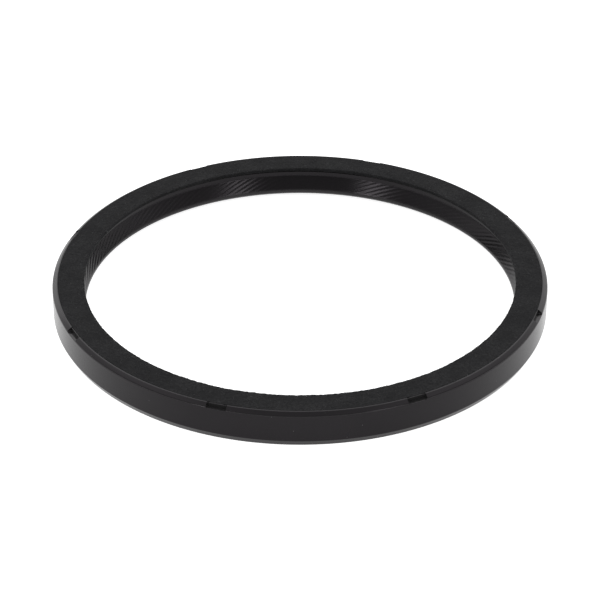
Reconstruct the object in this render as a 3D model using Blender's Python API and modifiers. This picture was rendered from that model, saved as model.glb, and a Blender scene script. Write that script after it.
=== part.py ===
"""Crankshaft oil seal for a 140 mm shaft in a 160 mm housing bore, 12 mm wide.

The seal lies on its oil side, with its felt dust lip up. +Z is the shaft's axis, and the
origin is the centre of the face it lies on. Four pieces make it: a moulded rubber body with
the sealing lip in one piece with the jacket, a pressed steel case inside it, a garter spring
in the groove behind the lip, and a felt ring on top.

Outlines are half sections, given as (radius, height) in metres.
"""

import math

import bmesh
import bpy
from mathutils import Matrix, Vector

# Outside of the seal
OUTER_RADIUS = 0.080
HEIGHT = 0.012
SECTION_WIDTH = 0.010  # from the shaft out to the housing bore
FIT_GAP = 0.0003  # room kept between round faces that meet

# Rubber jacket
JACKET_WALL = 0.0012
RIM_WIDTH = 0.0004
TOP_CHAMFER_RADIAL = 0.0014
TOP_CHAMFER_HEIGHT = 0.00106
LEAD_IN_RADIAL = 0.0011
LEAD_IN_HEIGHT = 0.0021
FOOT_HEIGHT = 0.0015
FOOT_COVER = 0.0004  # how far the foot reaches inside the case's wall
FLANGE_SKIN = 0.0008  # rubber between the case's flange and the felt
WEB_WALL = 0.0011  # rubber round the flange's inner edge
WEB_REACH = 0.0017  # how far the rubber runs back under the flange
WEB_SKIN = 0.0008  # rubber under the flange

# Locating notches in the jacket's upper edge
NOTCH_COUNT = 8
NOTCH_WIDTH = 0.0064
NOTCH_DEPTH = 0.0013
NOTCH_WALL = 0.00022  # rim left standing between a notch and the felt
NOTCH_WALL_DROP = 0.00015  # how far that wall's top lies below the rim
NOTCH_OVERRUN = 0.0010  # how far the cutters pass the body's outside
FIRST_NOTCH_ANGLE = math.radians(26.5)

# Felt ring
FELT_INTERFERENCE = 0.0002  # how far its inner edge would reach into the shaft
FELT_THICKNESS = 0.0012
FELT_EDGE_RADIUS = 0.00025

# Steel case
CASE_SHEET = 0.0010
CASE_BEND_RADIUS = 0.0012

# Sealing lip
LIP_INTERFERENCE = 0.0007  # how far the free sealing edge would reach into the shaft
LIP_HEIGHT = 0.0026
SEALING_EDGE_RADIUS = 0.0004
LIP_ROOT_CLEARANCE = 0.0024  # from the shaft out to the lip's root
LIP_ROOT_DROP = 0.0024  # from the felt's seat down to the lip's root
SHOULDER = 0.0005
FLEX_THICKNESS = 0.0013
OIL_SIDE_ANGLE = math.radians(50)
NOSE_DROP = 0.0013  # from the sealing edge down to the flat end of the lip

# Helical ribs on the air side of the lip
RIB_COUNT = 144
RIB_ANGLE = math.radians(25)  # to the direction the shaft's surface moves in
RIB_HEIGHT = 0.00012
RIB_RAMP = 0.0005  # length over which a rib rises at each end
RIB_LAND = 0.0010  # smooth band above the sealing edge
RIB_TOP_MARGIN = 0.0009  # smooth band below the lip's root

# Garter spring
SPRING_COIL_RADIUS = 0.00085
SPRING_SETBACK = 0.00292  # from the sealing edge out to the middle of the coil
SPRING_RISE = 0.0003  # from the sealing edge up to the middle of the coil
GROOVE_LIP = 0.0003  # how far the groove's two edges stand out
GROOVE_WALL = 0.00045  # rubber above the groove
GROOVE_UPPER_EDGE = math.radians(62)  # where its mouth ends, round the coil from the outward side
GROOVE_LOWER_EDGE = math.radians(305)

# Facets
ROUND_STEPS = 72
RIB_ROWS = 3
GROOVE_STEPS = 5
FILLET_STEPS = 2
SPRING_SIDES = 6
SMOOTH_ANGLE = math.radians(32)

# Sizes that follow from those above
SHAFT_RADIUS = OUTER_RADIUS - SECTION_WIDTH
CASE_OUTER_RADIUS = OUTER_RADIUS - JACKET_WALL - FIT_GAP
CASE_INNER_RADIUS = CASE_OUTER_RADIUS - CASE_SHEET
FELT_SEAT = HEIGHT - FELT_THICKNESS
FLANGE_TOP = FELT_SEAT - FLANGE_SKIN
FLANGE_BOTTOM = FLANGE_TOP - CASE_SHEET
RIM_OUTER_RADIUS = OUTER_RADIUS - TOP_CHAMFER_RADIAL
RECESS_RADIUS = RIM_OUTER_RADIUS - RIM_WIDTH
FELT_INNER_RADIUS = SHAFT_RADIUS - FELT_INTERFERENCE
LIP_RADIUS = SHAFT_RADIUS - LIP_INTERFERENCE
LIP_ROOT_RADIUS = SHAFT_RADIUS + LIP_ROOT_CLEARANCE
LIP_ROOT_HEIGHT = FELT_SEAT - LIP_ROOT_DROP
BORE_WALL_RADIUS = LIP_ROOT_RADIUS + SHOULDER
WEB_RADIUS = BORE_WALL_RADIUS + WEB_WALL
FLANGE_INNER_RADIUS = WEB_RADIUS + FIT_GAP
SPRING_RING_RADIUS = LIP_RADIUS + SPRING_SETBACK
SPRING_HEIGHT = LIP_HEIGHT + SPRING_RISE
GROOVE_RADIUS = SPRING_COIL_RADIUS + FIT_GAP
HEAD_TOP = SPRING_HEIGHT + GROOVE_RADIUS + GROOVE_WALL
NOSE_HEIGHT = LIP_HEIGHT - NOSE_DROP
CONE_SLOPE = math.atan2(LIP_ROOT_RADIUS - LIP_RADIUS, LIP_ROOT_HEIGHT - LIP_HEIGHT)
CONE_LENGTH = math.hypot(LIP_ROOT_RADIUS - LIP_RADIUS, LIP_ROOT_HEIGHT - LIP_HEIGHT)
HEAD_LENGTH = (HEAD_TOP - LIP_HEIGHT + FLEX_THICKNESS * math.sin(CONE_SLOPE)) / math.cos(CONE_SLOPE)


def clear_scene():
    for item in list(bpy.data.objects):
        bpy.data.objects.remove(item, do_unlink=True)


def new_collection(name):
    collection = bpy.data.collections.new(name)
    bpy.context.scene.collection.children.link(collection)
    return collection


def new_material(name, color, roughness, metallic=0.0):
    material = bpy.data.materials.new(name)
    material.use_nodes = True
    shader = material.node_tree.nodes["Principled BSDF"]
    shader.inputs["Base Color"].default_value = (*color, 1.0)
    shader.inputs["Roughness"].default_value = roughness
    shader.inputs["Metallic"].default_value = metallic
    return material


def new_object(name, mesh, collection, material=None):
    item = bpy.data.objects.new(name, mesh)
    collection.objects.link(item)
    if material:
        mesh.materials.append(material)
    return item


def rounded(corners, closed=True):
    """The outline through these (radius, height, fillet) corners, each fillet as a short arc."""
    outline = []
    last = len(corners) - 1
    for index, (radius, height, fillet) in enumerate(corners):
        if not fillet or (not closed and index in (0, last)):
            outline.append((radius, height))
            continue
        before = corners[index - 1]
        after = corners[(index + 1) % len(corners)]
        outline += fillet_arc((radius, height), before, after, fillet)
    return outline


def fillet_arc(corner, before, after, fillet):
    """Points of the arc that touches both sides of a corner, kept within half of the shorter side."""
    sides = []
    for other in (before, after):
        along = (other[0] - corner[0], other[1] - corner[1])
        length = math.hypot(*along)
        sides.append((along[0] / length, along[1] / length, length))
    (ax, ay, a_length), (bx, by, b_length) = sides
    half_angle = math.acos(max(-1.0, min(1.0, ax * bx + ay * by))) / 2
    reach = min(fillet / math.tan(half_angle), a_length / 2, b_length / 2)
    fillet = reach * math.tan(half_angle)
    middle_x, middle_y = ax + bx, ay + by
    scale = fillet / math.sin(half_angle) / math.hypot(middle_x, middle_y)
    centre = (corner[0] + middle_x * scale, corner[1] + middle_y * scale)
    start = math.atan2(corner[1] + ay * reach - centre[1], corner[0] + ax * reach - centre[0])
    end = math.atan2(corner[1] + by * reach - centre[1], corner[0] + bx * reach - centre[0])
    turn = (end - start + math.pi) % math.tau - math.pi
    return arc(centre, fillet, start, start + turn, FILLET_STEPS)


def arc(centre, radius, start, end, steps):
    points = []
    for step in range(steps + 1):
        angle = start + (end - start) * step / steps
        points.append((centre[0] + radius * math.cos(angle), centre[1] + radius * math.sin(angle)))
    return points


def cone_point(distance, offset=0.0):
    """The point this far up the lip's air side from the sealing edge, moved off it into the rubber."""
    radius = LIP_RADIUS + distance * math.sin(CONE_SLOPE) + offset * math.cos(CONE_SLOPE)
    height = LIP_HEIGHT + distance * math.cos(CONE_SLOPE) - offset * math.sin(CONE_SLOPE)
    return radius, height


def turned_object(name, outline, collection, material):
    """A closed half section, listed down its outer side first, turned round the shaft's axis."""
    mesh = bpy.data.meshes.new(name)
    edges = [(i, (i + 1) % len(outline)) for i in range(len(outline))]
    mesh.from_pydata([(radius, 0.0, height) for radius, height in outline], edges, [])
    item = new_object(name, mesh, collection, material)
    screw = item.modifiers.new("turn", "SCREW")
    screw.axis = "Z"
    screw.angle = math.tau
    screw.steps = ROUND_STEPS
    screw.render_steps = ROUND_STEPS
    screw.use_merge_vertices = True
    screw.merge_threshold = 0.00001
    screw.use_smooth_shade = True
    return item


def body_outline():
    """The rubber's half section from the top of the ribs, over the jacket, to the foot of the ribs."""
    rib_top = cone_point(CONE_LENGTH - RIB_TOP_MARGIN)
    air_side = [
        (*rib_top, 0),
        (LIP_ROOT_RADIUS, LIP_ROOT_HEIGHT, 0),
        (BORE_WALL_RADIUS, LIP_ROOT_HEIGHT + SHOULDER, 0),
        (BORE_WALL_RADIUS, FELT_SEAT, 0),
        (RECESS_RADIUS, FELT_SEAT, 0),
    ]
    jacket = [
        (RECESS_RADIUS, HEIGHT, 0),
        (RIM_OUTER_RADIUS, HEIGHT, 0),
        (OUTER_RADIUS, HEIGHT - TOP_CHAMFER_HEIGHT, 0),
        (OUTER_RADIUS, LEAD_IN_HEIGHT, 0),
        (OUTER_RADIUS - LEAD_IN_RADIAL, 0, 0),
        (CASE_INNER_RADIUS - FOOT_COVER, 0, 0),
        (CASE_INNER_RADIUS - FOOT_COVER, FOOT_HEIGHT, 0),
    ]
    case_pocket = [
        (CASE_OUTER_RADIUS + FIT_GAP, FOOT_HEIGHT, 0),
        (CASE_OUTER_RADIUS + FIT_GAP, FLANGE_TOP - CASE_BEND_RADIUS / 2, 0),
        (CASE_OUTER_RADIUS, FLANGE_TOP, 0),
        (WEB_RADIUS, FLANGE_TOP, 0),
        (WEB_RADIUS, FLANGE_BOTTOM, 0),
        (WEB_RADIUS + WEB_REACH, FLANGE_BOTTOM, 0),
    ]
    flex_root = cone_point(CONE_LENGTH, FLEX_THICKNESS)
    flex_foot = cone_point(HEAD_LENGTH, FLEX_THICKNESS)
    flex = [
        (WEB_RADIUS + WEB_REACH, FLANGE_BOTTOM - WEB_SKIN, WEB_SKIN / 2),
        (flex_root[0], FLANGE_BOTTOM - WEB_SKIN, FLEX_THICKNESS / 2),
        (*flex_foot, FLEX_THICKNESS / 2),
    ]
    return rounded(air_side + jacket + case_pocket + flex + lip_head(), closed=False)


def lip_head():
    """Corners of the lip's head: the spring's groove, the flat nose and the sealing edge."""
    groove_centre = (SPRING_RING_RADIUS, SPRING_HEIGHT)
    groove = arc(groove_centre, GROOVE_RADIUS, GROOVE_UPPER_EDGE, GROOVE_LOWER_EDGE, GROOVE_STEPS)
    nose_outer = groove[-1][0] + GROOVE_LIP
    nose_inner = LIP_RADIUS + NOSE_DROP * math.tan(OIL_SIDE_ANGLE)
    head = [(groove[0][0] + GROOVE_LIP, HEAD_TOP, 0)]
    head += [(radius, height, 0) for radius, height in groove]
    head += [
        (nose_outer, groove[-1][1] - GROOVE_LIP / 2, 0),
        (nose_outer - GROOVE_LIP / 2, NOSE_HEIGHT, 0),
        (nose_inner, NOSE_HEIGHT, 0),
        (LIP_RADIUS, LIP_HEIGHT, SEALING_EDGE_RADIUS),
        (*cone_point(RIB_LAND), 0),
    ]
    return head


def ring(mesh, radii, height, turn):
    """Points round the axis with these radii in order, as (angle, point) pairs that start at turn."""
    points = []
    for index, radius in enumerate(radii):
        angle = turn + math.tau * index / len(radii)
        place = (radius * math.cos(angle), radius * math.sin(angle), height)
        points.append((angle, mesh.verts.new(place)))
    return points


def edge_ring(mesh, height):
    """The open edge of the turned shell at this height, as (angle, point) pairs."""
    found = {v for e in mesh.edges if e.is_boundary for v in e.verts if abs(v.co.z - height) < 1e-6}
    return sorted(((math.atan2(v.co.y, v.co.x) % math.tau, v) for v in found), key=lambda pair: pair[0])


def loft_rings(mesh, lower, upper):
    """Faces between two rings with as many points, joined in the order they are listed."""
    for index in range(len(lower)):
        following = (index + 1) % len(lower)
        mesh.faces.new((lower[index][1], lower[following][1], upper[following][1], upper[index][1]))


def stitch_rings(mesh, one, other):
    """Triangles between two rings with unlike numbers of points, always taking the nearer next point."""

    def angle_past(points, index):
        turns, place = divmod(index, len(points))
        return points[place][0] + math.tau * turns

    start = min(
        range(-len(other), len(other)),
        key=lambda index: abs(angle_past(other, index) - one[0][0]),
    )
    step_one, step_other = 0, start
    while step_one < len(one) or step_other < start + len(other):
        here = one[step_one % len(one)][1]
        across = other[step_other % len(other)][1]
        one_done = step_one == len(one)
        other_done = step_other == start + len(other)
        next_one = angle_past(one, step_one + 1)
        next_other = angle_past(other, step_other + 1)
        if other_done or (not one_done and next_one <= next_other):
            step_one += 1
            mesh.faces.new((here, one[step_one % len(one)][1], across))
        else:
            step_other += 1
            mesh.faces.new((here, other[step_other % len(other)][1], across))


def add_ribs(mesh):
    """Fills the gap in the lip's air side with ribs that climb it as a left-hand helix."""
    ribbed_length = CONE_LENGTH - RIB_LAND - RIB_TOP_MARGIN
    middle_radius = cone_point(RIB_LAND + ribbed_length / 2)[0]
    twist = ribbed_length / math.tan(RIB_ANGLE) / middle_radius
    lower_edge = edge_ring(mesh, cone_point(RIB_LAND)[1])
    upper_edge = edge_ring(mesh, cone_point(CONE_LENGTH - RIB_TOP_MARGIN)[1])
    rows = []
    for row in range(RIB_ROWS + 1):
        share = row / RIB_ROWS
        distance = RIB_LAND + RIB_RAMP + (ribbed_length - 2 * RIB_RAMP) * share
        radius, height = cone_point(distance)
        radii = [radius - RIB_HEIGHT, radius] * RIB_COUNT
        rows.append(ring(mesh, radii, height, -twist * share))
    stitch_rings(mesh, rows[0], lower_edge)
    for lower, upper in zip(rows, rows[1:]):
        loft_rings(mesh, lower, upper)
    stitch_rings(mesh, rows[-1], upper_edge)


def make_notch_cutters(collection):
    """One stepped block for each notch: a floor from the outside in, then a thin wall's top."""
    mesh = bmesh.new()
    inner = RECESS_RADIUS - RIM_WIDTH / 2
    wall = RECESS_RADIUS + NOTCH_WALL
    outer = OUTER_RADIUS + NOTCH_OVERRUN
    floor = HEIGHT - NOTCH_DEPTH
    wall_top = HEIGHT - NOTCH_WALL_DROP
    roof = HEIGHT + NOTCH_OVERRUN
    step = [(wall, floor), (outer, floor), (outer, roof), (inner, roof), (inner, wall_top), (wall, wall_top)]
    for index in range(NOTCH_COUNT):
        turn = Matrix.Rotation(FIRST_NOTCH_ANGLE + math.tau * index / NOTCH_COUNT, 4, "Z")
        near = [mesh.verts.new(turn @ Vector((radius, -NOTCH_WIDTH / 2, height))) for radius, height in step]
        far = [mesh.verts.new(turn @ Vector((radius, NOTCH_WIDTH / 2, height))) for radius, height in step]
        mesh.faces.new(near)
        mesh.faces.new(far[::-1])
        for side in range(len(step)):
            after = (side + 1) % len(step)
            mesh.faces.new((near[side], far[side], far[after], near[after]))
    bmesh.ops.recalc_face_normals(mesh, faces=mesh.faces)
    data = bpy.data.meshes.new("notch_cutters")
    mesh.to_mesh(data)
    mesh.free()
    cutters = new_object("notch_cutters", data, collection)
    cutters.display_type = "WIRE"
    cutters.hide_render = True
    return cutters


def make_rubber_body(collection, cutters):
    """The jacket, web and lip: a turned shell whose ribbed band is lofted, with the notches cut last."""
    mesh = bmesh.new()
    points = [mesh.verts.new((radius, 0, height)) for radius, height in body_outline()]
    edges = [mesh.edges.new(pair) for pair in zip(points, points[1:])]
    bmesh.ops.spin(
        mesh,
        geom=points + edges,
        cent=(0, 0, 0),
        axis=(0, 0, 1),
        angle=math.tau,
        steps=ROUND_STEPS,
        use_merge=True,
    )
    bmesh.ops.remove_doubles(mesh, verts=mesh.verts, dist=0.00001)
    add_ribs(mesh)
    bmesh.ops.recalc_face_normals(mesh, faces=mesh.faces)
    data = bpy.data.meshes.new("rubber_body")
    mesh.to_mesh(data)
    mesh.free()
    data.shade_smooth()
    data.set_sharp_from_angle(angle=SMOOTH_ANGLE)
    body = new_object("rubber_body", data, collection, new_material("rubber", (0.018, 0.017, 0.018), 0.36))
    notches = body.modifiers.new("notches", "BOOLEAN")
    notches.operation = "DIFFERENCE"
    notches.solver = "EXACT"
    notches.object = cutters
    return body


def make_steel_case(collection):
    """The pressed angle ring: its wall stiffens the jacket, and its flange carries the lip."""
    outline = rounded(
        [
            (FLANGE_INNER_RADIUS, FLANGE_TOP, 0),
            (CASE_OUTER_RADIUS, FLANGE_TOP, CASE_BEND_RADIUS),
            (CASE_OUTER_RADIUS, FOOT_HEIGHT, 0),
            (CASE_INNER_RADIUS, FOOT_HEIGHT, 0),
            (CASE_INNER_RADIUS, FLANGE_BOTTOM, max(0.0, CASE_BEND_RADIUS - CASE_SHEET)),
            (FLANGE_INNER_RADIUS, FLANGE_BOTTOM, 0),
        ]
    )
    steel = new_material("phosphated_steel", (0.20, 0.20, 0.20), 0.45, 1.0)
    return turned_object("steel_case", outline, collection, steel)


def make_felt_dust_lip(collection):
    """The felt ring, level with the rim outside and free inside, where it brushes the shaft."""
    outer = RECESS_RADIUS - FIT_GAP
    outline = rounded(
        [
            (FELT_INNER_RADIUS, HEIGHT, FELT_EDGE_RADIUS),
            (outer, HEIGHT, FELT_EDGE_RADIUS),
            (outer, FELT_SEAT, 0),
            (FELT_INNER_RADIUS, FELT_SEAT, 0),
        ]
    )
    return turned_object("felt_dust_lip", outline, collection, new_material("felt", (0.030, 0.031, 0.030), 0.95))


def make_garter_spring(collection):
    """The closed coil spring, as the plain ring that its turns fill."""
    bpy.ops.mesh.primitive_torus_add(
        major_radius=SPRING_RING_RADIUS,
        minor_radius=SPRING_COIL_RADIUS,
        major_segments=ROUND_STEPS,
        minor_segments=SPRING_SIDES,
        location=(0, 0, SPRING_HEIGHT),
    )
    spring = bpy.context.object
    spring.name = "garter_spring"
    spring.data.name = "garter_spring"
    spring.data.materials.append(new_material("spring_steel", (0.45, 0.45, 0.45), 0.3, 1.0))
    spring.data.shade_smooth()
    for home in list(spring.users_collection):
        home.objects.unlink(spring)
    collection.objects.link(spring)
    return spring


def main():
    clear_scene()
    seal = new_collection("crankshaft_oil_seal")
    helpers = new_collection("cutters")
    cutters = make_notch_cutters(helpers)
    make_rubber_body(seal, cutters)
    make_steel_case(seal)
    make_garter_spring(seal)
    make_felt_dust_lip(seal)


main()
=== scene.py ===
"""Looks of a crankshaft oil seal, modelled over its CAD frame.

The seal lies on its oil side. +Z is the shaft's axis and the origin is the centre of the face it
lies on. A fine rubber body, a felt ring with loose fibres and a coiled garter spring stand for
their plain solids, and the pressed case keeps its solid with a phosphated finish.
"""

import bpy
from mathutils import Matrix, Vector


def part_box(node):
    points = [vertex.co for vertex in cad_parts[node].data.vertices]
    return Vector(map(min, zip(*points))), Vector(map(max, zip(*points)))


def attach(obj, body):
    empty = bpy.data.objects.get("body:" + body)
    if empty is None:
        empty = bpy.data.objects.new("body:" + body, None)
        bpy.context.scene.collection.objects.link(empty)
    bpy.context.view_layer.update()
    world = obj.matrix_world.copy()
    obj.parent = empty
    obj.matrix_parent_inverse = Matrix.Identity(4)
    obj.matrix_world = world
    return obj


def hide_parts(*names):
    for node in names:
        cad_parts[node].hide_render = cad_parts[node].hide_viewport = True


bl_info = {
    "name": "Crankshaft oil seal",
    "version": (1, 0, 0),
    "blender": (4, 5, 0),
    "location": "3D View > Sidebar > Oil Seal",
    "description": "Models a rubber-covered shaft seal with a felt dust lip, and its studio",
    "category": "Add Mesh",
}

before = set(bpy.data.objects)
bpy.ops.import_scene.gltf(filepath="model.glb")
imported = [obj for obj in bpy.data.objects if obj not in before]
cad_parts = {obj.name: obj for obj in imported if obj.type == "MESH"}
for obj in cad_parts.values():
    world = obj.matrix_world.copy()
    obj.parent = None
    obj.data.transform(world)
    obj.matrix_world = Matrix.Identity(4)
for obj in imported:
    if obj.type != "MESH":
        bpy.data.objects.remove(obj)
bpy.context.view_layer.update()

import math

import bpy
from bpy.props import FloatProperty, FloatVectorProperty, IntProperty, PointerProperty
from mathutils import Matrix, Vector

# Places that the pieces share, read from the frame or measured from what it says
OUTER_RADIUS = round(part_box("rubber_body")[1].x, 5)
HEIGHT = round(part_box("rubber_body")[1].z, 5)
FELT_OUTER_RADIUS = round(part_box("felt_dust_lip")[1].x, 5)
FELT_SEAT = round(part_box("felt_dust_lip")[0].z, 5)
SHAFT_RADIUS = OUTER_RADIUS - 0.010
FELT_INNER_RADIUS = SHAFT_RADIUS - 0.0002
FRAYED_RADIUS = FELT_INNER_RADIUS - 0.00015
RECESS_RADIUS = FELT_OUTER_RADIUS + 0.0003
RIM_WIDTH = 0.0004
RIM_CHAMFER = 0.00106  # how far the upper chamfer comes down the jacket
NOTCH_COUNT = 8
FIRST_NOTCH = math.radians(26.5)

# How many parts a full turn has, and the length under which two points are one
RIB_COUNT = 144
RIB_COLUMNS = 6
ROUND_STEPS = RIB_COUNT * RIB_COLUMNS
STEP_TURN = math.tau / ROUND_STEPS
SAME_POINT = 0.000008
FELT_STEPS = 1200
FELT_COLUMNS = 26
SPRING_STEPS = 10
SPRING_WIRE_SIDES = 5
SPRING_JOIN = 0.00002

# How far faces are paled, as painted light in the notches and as a painted highlight on the sealing
# edge, under the name of the value that says it
PALED = "paled"
NOTCH_PAINTED_LIGHT = 0.075
EDGE_PAINTED_HIGHLIGHT = 0.16
HIGHLIGHT_REACH = 0.00130
HIGHLIGHT_FADE = 0.00095

# Length, sideways curl and arch of each kind of loose strand
STRAND_SHAPES = (
    (0.0017, 0.9, 0.14),
    (0.0021, -0.5, 0.10),
    (0.0012, 1.4, 0.22),
    (0.0016, -1.1, 0.16),
)

# Seeds of the loose strands' random places, tilts and sizes
TURN_SEED = 5
REACH_SEED = 7
TILT_SEED = 11
SIZE_SEED = 13

# The camera that sees the seal as the photo does
CAMERA_PLACE = (0, -0.72269, 0.45630)
CAMERA_TILT = 1.00946
CAMERA_LENS = 157.26


class SealSizes(bpy.types.PropertyGroup):
    """Sizes of the dressed seal"""

    rib_height: FloatProperty(
        name="Rib height",
        description="How far the pumping ribs stand out of the lip's air side",
        default=0.00004,
        min=0.0,
        soft_max=0.0003,
        unit="LENGTH",
    )
    edge_rounding: FloatProperty(
        name="Edge rounding",
        description="How far the mould's rounding reaches along each side of an outer edge",
        default=0.00012,
        min=0.00005,
        soft_max=0.0004,
        unit="LENGTH",
    )
    notch_width: FloatProperty(
        name="Notch width",
        description="Width of each locating notch in the upper edge",
        default=0.0064,
        min=0.001,
        soft_max=0.01,
        unit="LENGTH",
    )
    notch_depth: FloatProperty(
        name="Notch depth",
        description="How far below the rim's top each locating notch has its floor",
        default=0.0013,
        min=0.0005,
        soft_max=0.003,
        unit="LENGTH",
    )
    felt_unevenness: FloatProperty(
        name="Felt unevenness",
        description="How far the felt's surface rises and falls",
        default=0.00030,
        min=0.0,
        soft_max=0.0006,
        unit="LENGTH",
    )
    fibre_thickness: FloatProperty(
        name="Fibre thickness",
        description="Diameter of a loose strand of the felt",
        default=0.00006,
        min=0.00002,
        soft_max=0.0001,
        unit="LENGTH",
    )
    fibre_count: IntProperty(
        name="Fibres",
        description="How many loose strands lie on the felt's top, with more along its inner edge",
        default=3600,
        min=1,
        soft_max=5000,
    )
    spring_turns: IntProperty(
        name="Spring turns",
        description="Turns of wire in the garter spring",
        default=1080,
        min=100,
        soft_max=1500,
    )
    spring_wire: FloatProperty(
        name="Spring wire",
        description="Diameter of the garter spring's wire",
        default=0.0004,
        min=0.0001,
        soft_max=0.0006,
        unit="LENGTH",
    )


class SealColours(bpy.types.PropertyGroup):
    """Colours of the dressed seal"""

    rubber: FloatVectorProperty(
        name="Rubber",
        description="Black of the moulded rubber",
        default=(0.0044, 0.0040, 0.0044),
        subtype="COLOR",
        min=0.0,
        max=1.0,
    )
    rubber_bloom: FloatVectorProperty(
        name="Rubber bloom",
        description="Slightly greyer patches on the rubber",
        default=(0.0064, 0.0059, 0.0064),
        subtype="COLOR",
        min=0.0,
        max=1.0,
    )
    felt: FloatVectorProperty(
        name="Felt",
        description="Dark ground of the felt",
        default=(0.0096, 0.0096, 0.0104),
        subtype="COLOR",
        min=0.0,
        max=1.0,
    )
    felt_fibre: FloatVectorProperty(
        name="Felt fibre",
        description="Lighter fibres of the felt",
        default=(0.0255, 0.0255, 0.0266),
        subtype="COLOR",
        min=0.0,
        max=1.0,
    )
    strand: FloatVectorProperty(
        name="Loose strand",
        description="Palest of the loose strands on the felt",
        default=(0.050, 0.050, 0.052),
        subtype="COLOR",
        min=0.0,
        max=1.0,
    )
    # Also the colour towards which painted light in the notches and the painted highlight on the
    # sealing edge are mixed
    dust_and_painted_light: FloatVectorProperty(
        name="Dust",
        description="Pale specks of lint and dust",
        default=(0.16, 0.16, 0.16),
        subtype="COLOR",
        min=0.0,
        max=1.0,
    )


# Selecting and drawing


def deselect_everything():
    if bpy.context.mode != "OBJECT":
        bpy.ops.object.mode_set(mode="OBJECT")
    bpy.ops.object.select_all(action="DESELECT")


def make_active(piece):
    deselect_everything()
    piece.select_set(True)
    bpy.context.view_layer.objects.active = piece


def edit(piece, select_mode="VERT", action="DESELECT"):
    """Enters edit mode with nothing selected, or with everything."""
    make_active(piece)
    bpy.ops.object.mode_set(mode="EDIT")
    bpy.ops.mesh.select_mode(type=select_mode)
    bpy.ops.mesh.select_all(action=action)


def edit_selected_edges(piece):
    """Enters edit mode with the edges that are marked as selected."""
    bpy.context.view_layer.objects.active = piece
    bpy.ops.object.mode_set(mode="EDIT")
    bpy.ops.mesh.select_mode(type="EDGE")


def leave_edit():
    bpy.ops.object.mode_set(mode="OBJECT")


def select_points(piece, wanted):
    """Selects, in edit mode, the points whose place passes the test."""
    bpy.ops.object.mode_set(mode="OBJECT")
    found = 0
    for point in piece.data.vertices:
        point.select = wanted(point.co)
        found += point.select
    for part in (*piece.data.edges, *piece.data.polygons):
        part.select = False
    bpy.ops.object.mode_set(mode="EDIT")
    if not found:
        raise RuntimeError(f"{piece.name} has no points at the place that was asked for")


def start_line(name, radius, height):
    """A new object with a single point, left in edit mode with that point selected."""
    deselect_everything()
    bpy.ops.mesh.primitive_plane_add(size=0.001, location=(0, 0, 0))
    piece = bpy.context.object
    piece.name = name
    piece.data.name = name
    bpy.ops.object.mode_set(mode="EDIT")
    bpy.ops.mesh.select_mode(type="VERT")
    bpy.ops.mesh.select_all(action="SELECT")
    bpy.ops.mesh.merge(type="CENTER")
    bpy.ops.transform.translate(value=(radius, 0, height))
    return piece


def extrude_to(step):
    bpy.ops.mesh.extrude_vertices_move(TRANSFORM_OT_translate={"value": step})


def turn_selected(angle, axis="Z", centre=(0, 0, 0)):
    bpy.ops.transform.rotate(
        value=angle, orient_axis=axis, orient_type="GLOBAL", center_override=centre
    )


def draw_section(name, corners, closed=True):
    """Draws a half section by extruding one point from corner to corner.

    Each corner is (radius, height, reach), where reach is how far its rounding runs along both
    sides, or 0 for a sharp corner.
    """
    piece = start_line(name, corners[0][0], corners[0][1])
    path = list(corners) + ([corners[0]] if closed else [])
    for (radius, height, _), (next_radius, next_height, _) in zip(path, path[1:]):
        extrude_to((next_radius - radius, 0, next_height - height))
    bpy.ops.mesh.select_all(action="SELECT")
    bpy.ops.mesh.remove_doubles(threshold=0.000001)
    for reach in sorted({corner[2] for corner in corners if corner[2]}):
        places = [Vector((r, 0, z)) for r, z, own in corners if own == reach]
        select_points(piece, lambda co: any((co - place).length < 0.000002 for place in places))
        steps = 3 if reach < 0.0004 else 5
        bpy.ops.mesh.bevel(offset=reach, offset_type="OFFSET", segments=steps, affect="VERTICES")
    leave_edit()
    return piece


def spin_section(piece, steps):
    """Turns a drawn half section round the shaft's axis and closes the seam."""
    edit(piece, action="SELECT")
    bpy.ops.mesh.spin(
        steps=steps, angle=math.tau, center=(0, 0, 0), axis=(0, 0, 1), use_auto_merge=True
    )
    bpy.ops.mesh.select_all(action="SELECT")
    bpy.ops.mesh.remove_doubles(threshold=SAME_POINT)
    leave_edit()


def face_outwards(piece):
    edit(piece, action="SELECT")
    bpy.ops.mesh.normals_make_consistent(inside=False)
    leave_edit()


def check_closed(piece):
    """Stops the script if the piece has an open edge."""
    edit(piece)
    bpy.ops.mesh.select_non_manifold()
    leave_edit()
    loose = sum(point.select for point in piece.data.vertices)
    if loose:
        raise RuntimeError(f"{piece.name} has {loose} points on open edges")


def add_modifier(piece, kind, **settings):
    modifier = piece.modifiers.new(kind.lower(), kind)
    for key, value in settings.items():
        setattr(modifier, key, value)
    return modifier


def apply_modifiers(piece):
    make_active(piece)
    for modifier in list(piece.modifiers):
        bpy.ops.object.modifier_apply(modifier=modifier.name)


def remove_object(piece):
    make_active(piece)
    bpy.ops.object.delete(use_global=False)


def repeat_round(piece, count, **settings):
    """Copies the piece evenly round the shaft's axis."""
    deselect_everything()
    bpy.ops.object.empty_add(location=(0, 0, 0), rotation=(0, 0, math.tau / count))
    pivot = bpy.context.object
    add_modifier(
        piece,
        "ARRAY",
        count=count,
        use_relative_offset=False,
        use_object_offset=True,
        offset_object=pivot,
        **settings,
    )
    apply_modifiers(piece)
    remove_object(pivot)


def repeat_and_join(piece, count, join):
    """Copies the piece round the axis and joins the copies where they meet."""
    repeat_round(
        piece,
        count,
        use_merge_vertices=True,
        use_merge_vertices_cap=True,
        merge_threshold=join,
    )


def seat_piece(piece, slot, material, *nodes):
    """Puts the finished piece on the frame, in the place of its plain solids."""
    make_active(piece)
    bpy.ops.object.transform_apply(location=True, rotation=True, scale=True)
    piece.data.materials.clear()
    piece.data.materials.append(material)
    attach(piece, "root")
    if nodes:
        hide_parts(*nodes)
    deselect_everything()


# Effects that several materials use


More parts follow.
